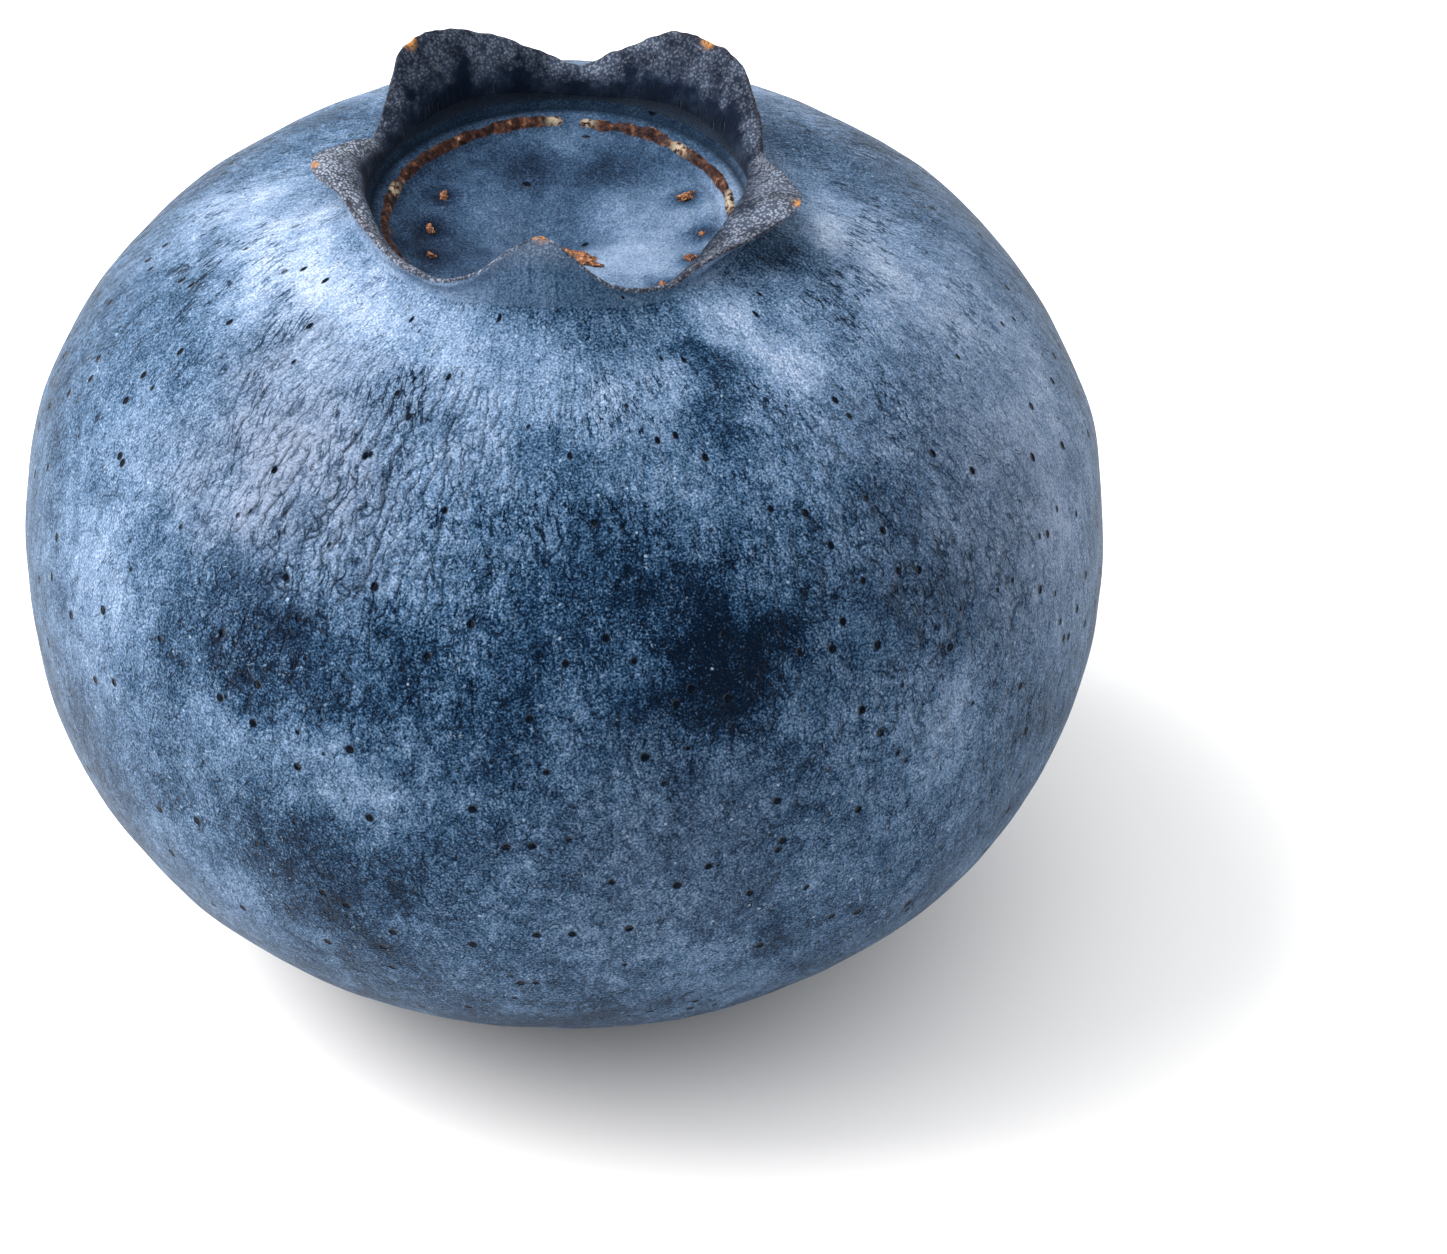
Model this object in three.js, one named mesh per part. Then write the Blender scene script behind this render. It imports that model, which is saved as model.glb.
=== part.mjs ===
// A ripe highbush blueberry that stands on its stem end with its crown up.
// Millimetres, +Z up. The origin is the middle of the small patch that the berry rests on.
//
// The berry grew as one piece: skin, flesh, the crown of five sepals and the disc inside the crown
// are one closed solid. Only the withered remains of the flower are pieces of their own: the stub
// of the style in the middle of the disc, and the crumbs of the stamens in a circle around it.
import * as THREE from 'three';

// Driving dimensions.
const BERRY_RADIUS = 8.0;
const HEIGHT_ABOVE_WIDEST = 6.1; // of the plain body, without the crown
const DEPTH_BELOW_WIDEST = 6.5;
const FULLNESS = 2.25; // 2 would be an ellipse; more than 2 gives fuller shoulders
const REST_PATCH_RADIUS = 1.9;
const SCAR_RADIUS = 0.95;
const SCAR_DEPTH = 0.35;
const COLLAR_START_RADIUS = 4.1;
const CROWN_RADIUS = 2.9; // to the middle of the sepals' thickness, at their foot
const SEPAL_FOOT_THICKNESS = 0.28;
const SEPAL_TIP_THICKNESS = 0.17;
const DISC_RADIUS = 2.76;
const RING_RADIUS = 2.48; // the corky line that the petals left when they fell
const SHOULDER_SWELL = 0.16; // how far the shoulder rises under a sepal

// How finely the skin is cut into facets.
const COLUMNS = 80;
const BODY_ROWS = 20;
const COLLAR_ROWS = 3;
const SEPAL_ROWS = 6;
const DISC_ROWS = 11;

// Levels, all above the resting patch.
const WIDEST_LEVEL = DEPTH_BELOW_WIDEST * shareOfHeight(REST_PATCH_RADIUS);
const SEPAL_FOOT_LEVEL = WIDEST_LEVEL + 5.92;
const RING_LEVEL = WIDEST_LEVEL + 5.56;

// The five sepals, anticlockwise from +X. A sepal runs from its own notch to the next one's.
// notch: where the sepal begins, in degrees. dip: how high the skin stands in that notch.
// apex: where the tip lies between the two notches, from 0 to 1. length: foot to tip.
// taper: how fast the sides fall from the tip. lean: how far the tip lies outwards, in degrees
// from upright. pinch: how far the sides draw in.
const SEPALS = [
  { notch: 20, dip: 0.24, apex: 0.44, length: 0.76, taper: 1, lean: 22, pinch: 0.05 }, // back right
  { notch: 84, dip: 0.4, apex: 0.66, length: 0.76, taper: 1.15, lean: 20, pinch: 0.08 }, // back left
  { notch: 156, dip: 0.2, apex: 0.34, length: 0.52, taper: 3.2, lean: 50, pinch: 0.3 }, // curls out
  { notch: 229, dip: 0.24, apex: 0.5, length: 0.82, taper: 3, lean: -6, pinch: 0.1 }, // leans in
  { notch: 304, dip: 0.18, apex: 0.44, length: 0.56, taper: 1.6, lean: 62, pinch: 0.1 }, // folds out
];
const NOTCH_LEAN = 18;

// Where a stamen stood on the disc: degrees, distance from the middle, and the size of the crumb
// that it left.
const STAMEN_CRUMBS = [
  [20, 1.95, 0.16], [156, 1.84, 0.14], [184, 1.85, 0.12], [205, 1.98, 0.11], [232, 2.02, 0.1],
  [261, 2.05, 0.12], [288, 2.1, 0.1], [313, 2.2, 0.11], [333, 2.15, 0.12], [353, 2.08, 0.1],
];

function radians(degrees) {
  return THREE.MathUtils.degToRad(degrees);
}

function smooth(value, from, to) {
  const share = THREE.MathUtils.clamp((value - from) / (to - from), 0, 1);
  return share * share * (3 - 2 * share);
}

function bump(value, middle, width) {
  return Math.exp(-(((value - middle) / width) ** 2));
}

// How much of the body's height above or below its widest level is left at a radius.
function shareOfHeight(radius) {
  return (1 - (radius / BERRY_RADIUS) ** FULLNESS) ** (1 / FULLNESS);
}

// What the crown does at an angle: the length, lean and pinch of the sepal there.
function crownAt(angle) {
  const degrees = THREE.MathUtils.euclideanModulo(THREE.MathUtils.radToDeg(angle) - SEPALS[0].notch, 360)
    + SEPALS[0].notch;
  const index = SEPALS.findLastIndex((sepal) => sepal.notch <= degrees + 1e-9);
  const sepal = SEPALS[index];
  const next = SEPALS[(index + 1) % SEPALS.length];
  const end = index + 1 < SEPALS.length ? next.notch : next.notch + 360;
  const across = (degrees - sepal.notch) / (end - sepal.notch);
  // From -1 at one notch, through 0 at the tip, to 1 at the other notch.
  const side = across < sepal.apex ? across / sepal.apex - 1 : (across - sepal.apex) / (1 - sepal.apex);
  const rise = (1 - side * side) ** sepal.taper;
  const spread = radians(end - sepal.notch) * (across - sepal.apex);
  return {
    length: THREE.MathUtils.lerp(sepal.dip, next.dip, across) + sepal.length * rise,
    lean: radians(NOTCH_LEAN + (sepal.lean - NOTCH_LEAN) * smooth(rise, 0, 0.9)),
    draw: -sepal.pinch * spread * (1 - side * side),
    swell: (-SHOULDER_SWELL / 2) * Math.cos(2 * Math.PI * across),
  };
}

// The shoulder rises a little under each sepal and sinks a little under each notch.
function shoulderRise(radius, angle) {
  return crownAt(angle).swell * smooth(radius, 6.4, COLLAR_START_RADIUS);
}

// The hollow in the crown: its margin falls from the sepals to the corky ring, and inside the ring
// come a step, a faint ridge and a pit in the middle.
function discHeight(radius) {
  return RING_LEVEL
    + (SEPAL_FOOT_LEVEL - RING_LEVEL) * smooth(radius, RING_RADIUS, DISC_RADIUS + 0.1)
    + 0.05 * bump(radius, RING_RADIUS - 0.02, 0.07)
    - 0.12 * smooth(radius, RING_RADIUS + 0.06, RING_RADIUS - 0.16)
    + 0.04 * bump(radius, 2.18, 0.09)
    - 0.1 * (1 - (radius / DISC_RADIUS) ** 2)
    - 0.36 * bump(radius, 0, 0.75);
}

// A row of the skin gives, at each angle, its radius, its height and how far it turns sideways.
function fixedRow(radius, height) {
  return () => ({ radius, height, turn: 0 });
}

function stemScarRows() {
  return [
    fixedRow(0, SCAR_DEPTH),
    fixedRow(SCAR_RADIUS * 0.45, SCAR_DEPTH),
    fixedRow(SCAR_RADIUS * 0.82, SCAR_DEPTH * 0.86),
    fixedRow(SCAR_RADIUS, 0),
  ];
}

// Where a radius lies on the turn of the body, from 0 at the widest level to a quarter turn.
function climbTo(radius) {
  return Math.acos((radius / BERRY_RADIUS) ** (FULLNESS / 2));
}

function bodyRows() {
  const lowest = -climbTo(REST_PATCH_RADIUS);
  const highest = climbTo(COLLAR_START_RADIUS);
  return Array.from({ length: BODY_ROWS + 1 }, (_, row) => {
    const climb = THREE.MathUtils.lerp(lowest, highest, row / BODY_ROWS);
    const radius = BERRY_RADIUS * Math.cos(climb) ** (2 / FULLNESS);
    const reach = climb > 0 ? HEIGHT_ABOVE_WIDEST : -DEPTH_BELOW_WIDEST;
    const height = WIDEST_LEVEL + reach * shareOfHeight(radius);
    return (angle) => ({
      radius,
      height: height + (climb > 0 ? shoulderRise(radius, angle) : 0),
      turn: 0,
    });
  });
}

// The skin leaves the shoulder along its slope and turns up into the outside of the crown.
function collarRows() {
  const start = new THREE.Vector2(
    COLLAR_START_RADIUS,
    WIDEST_LEVEL + HEIGHT_ABOVE_WIDEST * shareOfHeight(COLLAR_START_RADIUS),
  );
  const outside = CROWN_RADIUS + SEPAL_FOOT_THICKNESS / 2;
  const slope = (HEIGHT_ABOVE_WIDEST / BERRY_RADIUS)
    * (COLLAR_START_RADIUS / BERRY_RADIUS) ** (FULLNESS - 1)
    * shareOfHeight(COLLAR_START_RADIUS) ** (1 - FULLNESS);
  const corner = new THREE.Vector2(outside, start.y + slope * (COLLAR_START_RADIUS - outside));
  const curve = new THREE.QuadraticBezierCurve(start, corner, new THREE.Vector2(outside, SEPAL_FOOT_LEVEL));
  return curve.getPoints(COLLAR_ROWS + 1).slice(1, -1).map((point) => (angle) => ({
    radius: point.x,
    height: point.y + crownAt(angle).swell,
    turn: 0,
  }));
}

// side is 1 on the outside of a sepal, -1 on its inside and 0 on its edge; climb is 0 at the foot
// and 1 at the tip.
function sepalRow(side, climb) {
  return (angle) => {
    const { length, lean, draw, swell } = crownAt(angle);
    const thickness = THREE.MathUtils.lerp(SEPAL_FOOT_THICKNESS, SEPAL_TIP_THICKNESS, climb);
    const reach = length * climb + (side === 0 ? SEPAL_TIP_THICKNESS * 0.4 : 0);
    const tilt = lean * climb;
    return {
      radius: CROWN_RADIUS + reach * Math.sin(tilt) + side * (thickness / 2) * Math.cos(2 * tilt),
      height: SEPAL_FOOT_LEVEL + swell + reach * Math.cos(tilt) - side * (thickness / 2) * Math.sin(2 * tilt),
      turn: draw * climb,
    };
  };
}

function crownRows() {
  const climbs = Array.from({ length: SEPAL_ROWS + 1 }, (_, row) => row / SEPAL_ROWS);
  const outside = climbs.map((climb) => sepalRow(1, climb));
  const inside = climbs.map((climb) => sepalRow(-1, climb)).reverse();
  return [...outside, sepalRow(0, 1), ...inside];
}

function discRows() {
  return Array.from({ length: DISC_ROWS + 1 }, (_, row) => {
    const radius = DISC_RADIUS * Math.cos((row / DISC_ROWS) * (Math.PI / 2));
    return fixedRow(row === DISC_ROWS ? 0 : radius, discHeight(radius));
  });
}

// The rows are revolved as a lathe would, and each point then takes its own row's place.
function revolve(rows) {
  const outline = rows.map((row) => {
    const { radius, height } = row(0);
    return new THREE.Vector2(radius, height);
  });
  const geometry = new THREE.LatheGeometry(outline, COLUMNS);
  const position = geometry.getAttribute('position');
  for (let column = 0; column <= COLUMNS; column += 1) {
    const angle = ((column % COLUMNS) / COLUMNS) * 2 * Math.PI;
    rows.forEach((row, index) => {
      const { radius, height, turn } = row(angle);
      position.setXYZ(
        column * rows.length + index,
        radius * Math.cos(angle + turn),
        radius * Math.sin(angle + turn),
        height,
      );
    });
  }
  geometry.computeVertexNormals();
  return geometry;
}

function berry() {
  const rows = [...stemScarRows(), ...bodyRows(), ...collarRows(), ...crownRows(), ...discRows()];
  const skin = new THREE.MeshStandardMaterial({ color: 0x5d7a9c, roughness: 0.62, metalness: 0 });
  const mesh = new THREE.Mesh(revolve(rows), skin);
  mesh.name = 'berry';
  return mesh;
}

const driedTissue = new THREE.MeshStandardMaterial({ color: 0x9a5a2c, roughness: 0.9, metalness: 0 });

// A torn flake, 0.5 mm long, that stands in the pit of the disc.
function styleStub() {
  const torn = new THREE.Shape([
    new THREE.Vector2(-0.26, 0),
    new THREE.Vector2(0.24, 0),
    new THREE.Vector2(0.3, 0.16),
    new THREE.Vector2(0.08, 0.15),
    new THREE.Vector2(-0.06, 0.24),
    new THREE.Vector2(-0.24, 0.2),
  ]);
  const flake = new THREE.ExtrudeGeometry(torn, { depth: 0.1, bevelEnabled: false });
  flake.translate(0, 0, -0.05);
  const mesh = new THREE.Mesh(flake, driedTissue);
  mesh.name = 'style_stub';
  const from = new THREE.Vector2(0.3, -0.78);
  mesh.position.set(from.x, from.y, discHeight(from.length()) + 0.07);
  mesh.rotation.set(radians(64), 0, radians(-14), 'ZXY');
  return mesh;
}

// A stamen's foot dries to a crumb on the disc.
function stamenCrumb([degrees, distance, size], index) {
  const mesh = new THREE.Mesh(new THREE.IcosahedronGeometry(size, 1), driedTissue);
  mesh.name = `stamen_crumb_${String(index + 1).padStart(2, '0')}`;
  const angle = radians(degrees);
  const flatness = 0.5;
  mesh.scale.set(1, 0.7, flatness);
  mesh.rotation.z = angle + radians(70 * index);
  mesh.position.set(
    distance * Math.cos(angle),
    distance * Math.sin(angle),
    discHeight(distance) + size * flatness + 0.03,
  );
  return mesh;
}

const blueberry = new THREE.Group();
blueberry.add(berry(), styleStub(), ...STAMEN_CRUMBS.map(stamenCrumb));

export default blueberry;
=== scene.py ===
# %% [markdown]
# A ripe blueberry
#
# The berry stands on its stem end, with its crown of dried sepals up. The frame holds the plain
# shape and its true size. This script grows the same berry again from many more rows of skin, so
# that wavy sepals, a lumpy corky ring and shallow dents have room, and then gives it its finish.

# %% Load the frame
import math

import bmesh
import bpy
import numpy as np
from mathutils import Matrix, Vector, noise


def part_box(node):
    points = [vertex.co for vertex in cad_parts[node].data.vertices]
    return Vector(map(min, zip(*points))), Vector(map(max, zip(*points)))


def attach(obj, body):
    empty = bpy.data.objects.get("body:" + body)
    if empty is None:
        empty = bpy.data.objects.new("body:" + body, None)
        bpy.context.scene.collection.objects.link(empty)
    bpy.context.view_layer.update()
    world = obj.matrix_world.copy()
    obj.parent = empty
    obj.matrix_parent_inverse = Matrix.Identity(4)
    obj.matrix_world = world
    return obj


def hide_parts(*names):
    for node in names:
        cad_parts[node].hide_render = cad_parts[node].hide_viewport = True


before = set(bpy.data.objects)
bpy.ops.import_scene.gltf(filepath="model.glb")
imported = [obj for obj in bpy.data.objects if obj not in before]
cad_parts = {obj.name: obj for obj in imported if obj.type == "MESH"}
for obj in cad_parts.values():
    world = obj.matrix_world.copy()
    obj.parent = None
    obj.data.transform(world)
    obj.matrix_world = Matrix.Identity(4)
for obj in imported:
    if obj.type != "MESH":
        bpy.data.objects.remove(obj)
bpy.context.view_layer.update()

MM = 0.001
berry_low, berry_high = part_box("berry")
BERRY_RADIUS = round(berry_high.x / MM, 1)
CROWN_TOP = berry_high.z / MM
print(f"the berry is {2 * BERRY_RADIUS:.1f} mm wide and {CROWN_TOP:.2f} mm high")

# %% [markdown]
# The camera
#
# A berry is small, so it is looked at through a long lens from close by: the crown then shows its
# inside without looking stretched. The view comes from 37 degrees above level. The berry sits left
# of the middle and a little high, which leaves room for its shadow.

# %% Camera
VIEW_HEIGHT = math.radians(37)
LENS = 150
SENSOR = 36
BERRIES_ACROSS_PICTURE = 1.3475
PICTURE_WIDTH = BERRIES_ACROSS_PICTURE * 2 * BERRY_RADIUS
BERRY_LEFT_OF_MIDDLE = 2.36
BERRY_ABOVE_MIDDLE = 1.48
WIDEST_LEVEL = 6.385  # how high above the table the berry is widest

back = Vector((0, -math.cos(VIEW_HEIGHT), math.sin(VIEW_HEIGHT)))
up = Vector((0, math.sin(VIEW_HEIGHT), math.cos(VIEW_HEIGHT)))
distance = PICTURE_WIDTH * LENS / SENSOR
lens = bpy.data.cameras.new("camera")
lens.lens = LENS
lens.sensor_width = SENSOR
lens.clip_start = 1 * MM
camera = bpy.data.objects.new("camera", lens)
aim = Vector((BERRY_LEFT_OF_MIDDLE, 0, WIDEST_LEVEL)) - BERRY_ABOVE_MIDDLE * up
camera.location = MM * (aim + distance * back)
camera.rotation_euler = back.to_track_quat("Z", "Y").to_euler()
bpy.context.scene.collection.objects.link(camera)
bpy.context.scene.camera = camera
print(f"the camera is {distance:.0f} mm away")

# %% [markdown]
# Webs of nodes
#
# Light and finishes are made of small nodes, and most of them only add or multiply. Written as sums
# they are easy to read, so one small class wraps a node's output and turns + - and * into Math
# nodes. A second one adds any other node from its type, its settings and its sockets.

# %% Node outputs that can be added and multiplied
class Wire:
    """A node's output, to be used in sums: 1 - mask adds the Math node that works it out."""

    def __init__(self, web, socket):
        self.web = web
        self.socket = socket

    def maths(self, operation, *values, **settings):
        return self.web.add("Math", {"operation": operation, **settings}, dict(enumerate(values)))

    def __add__(self, other):
        return self.maths("ADD", self, other)

    def __sub__(self, other):
        return self.maths("SUBTRACT", self, other)

    def __rsub__(self, other):
        return self.maths("SUBTRACT", other, self)

    def __mul__(self, other):
        return self.maths("MULTIPLY", self, other)

    __radd__, __rmul__ = __add__, __mul__

    def clamped(self):
        """The value, kept between 0 and 1."""
        return self.maths("ADD", self, 0, use_clamp=True)

    def above(self, start, end):
        """0 where the value is under start, 1 where it is over end. start may be the larger one."""
        return self.web.add("MapRange", {"interpolation_type": "SMOOTHSTEP"},
                            {"Value": self, "From Min": start, "From Max": end})


# %% Any other node
class Web:
    """A web of nodes that starts out empty."""

    def __init__(self, tree):
        self.tree = tree
        self.tree.nodes.clear()

    def add(self, kind, settings=None, sockets=None, output=0):
        """Adds a node: its settings first, then the values or links of its sockets."""
        node = self.tree.nodes.new("ShaderNode" + kind)
        for name, value in (settings or {}).items():
            if name == "stops":
                for _ in value[2:]:
                    node.color_ramp.elements.new(0.5)
                for element, (position, colour) in zip(node.color_ramp.elements, value):
                    element.position, element.color = position, (*colour, 1)
            else:
                setattr(node, name, value)
        for name, value in (sockets or {}).items():
            if isinstance(value, Wire):
                self.tree.links.new(value.socket, node.inputs[name])
            else:
                node.inputs[name].default_value = value
        return node if output is None else Wire(self, node.outputs[output])


# %% [markdown]
# The light
#
# Bloom is a matt wax film, so it wants light from all around: a white room, whose ceiling is
# brighter than its walls. One large soft light from the left throws the soft shadow to the right.
# A weaker one, lower and nearer the viewer, lays a broad grey-lilac sheen on the near left shoulder.

# %% White room
WALLS, CEILING = 0.36, 1.45  # how bright they are
CEILING_STARTS = 0.8  # the height of a direction at which it meets the ceiling, from 0 to 1

scene = bpy.context.scene
scene.view_settings.view_transform = "Standard"
room = bpy.data.worlds.new("white room")
room.use_nodes = True
air = Web(room.node_tree)
look_up = air.add("SeparateXYZ", {}, {"Vector": air.add("TexCoord", output="Generated")}, "Z")
brightness = air.add("MapRange", {}, {"Value": look_up, "From Min": 0.0, "From Max": CEILING_STARTS,
                                      "To Min": WALLS, "To Max": CEILING})
glow = air.add("Background", {}, {"Color": (1, 1, 1, 1), "Strength": brightness})
air.add("OutputWorld", {}, {"Surface": glow}, output=None)
scene.world = room
print(f"a white room: walls {WALLS}, ceiling {CEILING}")


# %% Soft lights
def soft_light(name, azimuth, height, away, size, power, colour):
    """A square light that looks at the berry's middle. Angles are in degrees, lengths in millimetres."""
    lamp = bpy.data.lights.new(name, "AREA")
    lamp.size = size * MM
    lamp.energy = power
    lamp.color = colour
    a, h = math.radians(azimuth), math.radians(height)
    direction = Vector((math.cos(a) * math.cos(h), math.sin(a) * math.cos(h), math.sin(h)))
    light = bpy.data.objects.new(name, lamp)
    light.location = MM * (Vector((0, 0, WIDEST_LEVEL)) + away * direction)
    light.rotation_euler = direction.to_track_quat("Z", "Y").to_euler()
    light.visible_camera = False
    scene.collection.objects.link(light)


soft_light("key light", 172, 52, 110, 85, 0.20, (1, 0.985, 0.96))
soft_light("sheen light", 202, 34, 110, 50, 0.045, (1, 0.94, 0.91))

# %% [markdown]
# The table
#
# A plain white sheet. It is bright enough to end up pure white, so only the berry's shadow shows
# on it.

# %% Table
TABLE_REACH = 1.0  # in metres, from its middle to each side
table = bmesh.new()
bmesh.ops.create_grid(table, x_segments=1, y_segments=1, size=TABLE_REACH)
sheet = bpy.data.meshes.new("table")
table.to_mesh(sheet)
table.free()
floor = bpy.data.objects.new("table", sheet)
scene.collection.objects.link(floor)
print(f"the table is {2 * TABLE_REACH:.0f} m wide")

# %% [markdown]
# The sepals
#
# Five sepals close the flower bud, and after flowering they dry on the fruit as a crown. Each one
# runs from its own notch to the next. Two stand up at the back, one curls out on the left, one
# stands upright at the front and one folds out on the right. A few numbers for each say all that:
#
# - notch is where it starts, in degrees, and dip is how high the skin stands there
# - apex is where its tip is, as a share of its width, and length is how much higher the tip reaches
# - tapers are how steeply its two sides fall, and point is 1 for a sharp tip and 2 for a round one
# - lean is how many degrees it leans out, and pinch is how far its sides are drawn together
# - belly is how far its middle is pushed in, in millimetres
# - frost and brown are how much wax its inside has kept, and how much of its edge has gone brown

# %% Sepals
SEPALS = [
    dict(notch=14, dip=0.30, apex=0.49, length=0.70, tapers=(1.1, 1.25), point=2,
         lean=22, pinch=0.05, belly=0, frost=0.22, brown=0.5),
    dict(notch=84, dip=0.36, apex=0.68, length=0.80, tapers=(1.6, 2.6), point=2,
         lean=20, pinch=0.08, belly=0, frost=0.19, brown=0.5),
    dict(notch=156, dip=0.20, apex=0.36, length=0.58, tapers=(1.0, 9.0), point=2,
         lean=52, pinch=0.30, belly=0.05, frost=0.66, brown=1.0),
    dict(notch=229, dip=0.24, apex=0.50, length=0.84, tapers=(2.6, 3.3), point=1.6,
         lean=-6, pinch=0.10, belly=0, frost=0.42, brown=0.2),
    dict(notch=304, dip=0.14, apex=0.54, length=0.60, tapers=(1.0, 1.5), point=1.25,
         lean=58, pinch=0.10, belly=0.2, frost=0.40, brown=0.8),
]
NOTCH_LEAN = 18  # degrees
SHOULDER_SWELL = 0.16  # how much higher the shoulder is under a sepal than under a notch
COLUMNS = 440


def smooth(value, start, end):
    """0 at start, 1 at end, with a soft beginning and a soft end."""
    share = np.clip((value - start) / (end - start), 0, 1)
    return share * share * (3 - 2 * share)


def bump(value, middle, width):
    """1 at the middle, falling away softly on both sides."""
    return np.exp(-(((value - middle) / width) ** 2))


def ripple(x, y, z, size, seed):
    """Smooth noise from -1 to 1, whose waves are about size long."""
    x, y, z = np.broadcast_arrays(x, y, z)
    points = np.stack([x, y, z], -1).reshape(-1, 3) / size + seed
    return np.array([noise.noise(Vector(point)) for point in points]).reshape(x.shape)


# %% What the crown does at each angle
angles = np.arange(COLUMNS) * 2 * math.pi / COLUMNS
degrees = (np.degrees(angles) - SEPALS[0]["notch"]) % 360 + SEPALS[0]["notch"]
notches = np.array([sepal["notch"] for sepal in SEPALS])
ends = np.append(notches[1:], notches[0] + 360)
which = np.searchsorted(notches, degrees, side="right") - 1


def own(name):
    """A number of the sepal that stands at each angle."""
    return np.array([sepal[name] for sepal in SEPALS])[which]


# across runs from 0 at a sepal's first notch to 1 at its last, and side from -1 over 0 at its tip to 1
across = (degrees - own("notch")) / (ends[which] - own("notch"))
past_apex = across - own("apex")
side = np.where(past_apex < 0, across / own("apex") - 1, past_apex / (1 - own("apex")))
taper = np.where(side < 0, own("tapers")[:, 0], own("tapers")[:, 1])
rise = np.maximum(1 - np.abs(side) ** own("point"), 0) ** taper
next_dip = np.array([SEPALS[(k + 1) % 5]["dip"] for k in range(5)])[which]
round_x, round_y = np.cos(angles), np.sin(angles)

torn_edge = 0.05 * ripple(round_x, round_y, 0, 0.16, 3) + 0.03 * ripple(round_x, round_y, 0, 0.05, 8)
length = own("dip") + (next_dip - own("dip")) * across + own("length") * rise + torn_edge
lean = np.radians(NOTCH_LEAN + (own("lean") - NOTCH_LEAN) * smooth(rise, 0.05, 1))
draw = -own("pinch") * np.radians(ends[which] - own("notch")) * past_apex * (1 - side ** 2)
swell = -SHOULDER_SWELL / 2 * np.cos(2 * math.pi * across)
print("sepals reach", [round(float(length[which == k].max()), 2) for k in range(5)], "mm above their foot")

# %% [markdown]
# The outline
#
# The whole skin is one outline turned round the berry's axis: up from the stem scar over the body,
# up the outside of the crown, over the sepals' edge, down their inside and across the disc. Each
# row of the outline says where it runs at every angle, so the same row can rise into a sepal and
# dip into a notch.

# %% Measures of the skin, in millimetres
HEIGHT_ABOVE_WIDEST = 6.1
DEPTH_BELOW_WIDEST = 6.5
FULLNESS = 2.25  # 2 would be an ellipse, more is squarer
REST_PATCH_RADIUS = 1.9
SCAR_RADIUS = 0.95
SCAR_DEPTH = 0.35
COLLAR_START_RADIUS = 4.1
CROWN_RADIUS = 2.9
SEPAL_FOOT_THICKNESS = 0.28
SEPAL_EDGE_THICKNESS = 0.08
DISC_RADIUS = 2.76
RING_RADIUS = 2.48
SEPAL_FOOT_LEVEL = WIDEST_LEVEL + 5.92
RING_LEVEL = WIDEST_LEVEL + 5.56
print(f"the crown's foot is {SEPAL_FOOT_LEVEL:.2f} mm above the table")

rows = []


def add_row(part, climb, radius, height, turn=0.0):
    """One row of the skin: which part it is on, how far along it, and its place at every angle."""
    radius, height, turn, _ = np.broadcast_arrays(radius, height, turn, angles)
    rows.append(dict(part=part, climb=climb, radius=radius, height=height, turn=turn))


def share_of_height(radius):
    """How much of the body's height is left at a radius."""
    return (1 - (radius / BERRY_RADIUS) ** FULLNESS) ** (1 / FULLNESS)


# %% Stem scar: shares of its radius and of its depth
SCAR_ROWS = [(0, 1), (0.12, 1), (0.3, 0.97), (0.5, 0.9), (0.68, 0.92), (0.82, 0.84), (0.92, 0.5),
             (1, 0.12), (1.08, 0)]
for share, depth in SCAR_ROWS:
    add_row("scar", share, SCAR_RADIUS * share, SCAR_DEPTH * depth)

# %% Body
BODY_ROWS = 104
SHOULDER_RADIUS = 6.4  # inside it the skin swells towards the sepals


def climb_to(radius):
    """Where a radius lies on the turn of the body, from 0 at the widest level to a quarter turn."""
    return math.acos((radius / BERRY_RADIUS) ** (FULLNESS / 2))


for climb in np.linspace(-climb_to(REST_PATCH_RADIUS), climb_to(COLLAR_START_RADIUS), BODY_ROWS):
    radius = BERRY_RADIUS * math.cos(climb) ** (2 / FULLNESS)
    reach = HEIGHT_ABOVE_WIDEST if climb > 0 else -DEPTH_BELOW_WIDEST
    shoulder = swell * smooth(-radius, -SHOULDER_RADIUS, -COLLAR_START_RADIUS) if climb > 0 else 0
    add_row("body", climb, radius, WIDEST_LEVEL + reach * share_of_height(radius) + shoulder)

# %% Collar, where the shoulder turns up into the crown
COLLAR_ROWS = 14
start_height = WIDEST_LEVEL + HEIGHT_ABOVE_WIDEST * share_of_height(COLLAR_START_RADIUS)
outside = CROWN_RADIUS + SEPAL_FOOT_THICKNESS / 2
slope = (HEIGHT_ABOVE_WIDEST / BERRY_RADIUS * (COLLAR_START_RADIUS / BERRY_RADIUS) ** (FULLNESS - 1)
         * share_of_height(COLLAR_START_RADIUS) ** (1 - FULLNESS))
corner_height = start_height + slope * (COLLAR_START_RADIUS - outside)
for t in np.linspace(0, 1, COLLAR_ROWS + 2)[1:-1]:
    radius = (1 - t) ** 2 * COLLAR_START_RADIUS + (1 - (1 - t) ** 2) * outside
    height = (1 - t) ** 2 * start_height + 2 * t * (1 - t) * corner_height + t * t * SEPAL_FOOT_LEVEL
    add_row("collar", t, radius, height + swell)

# %% Sepals: up the outside, over the edge, down the inside
SEPAL_ROWS = 18


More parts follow.
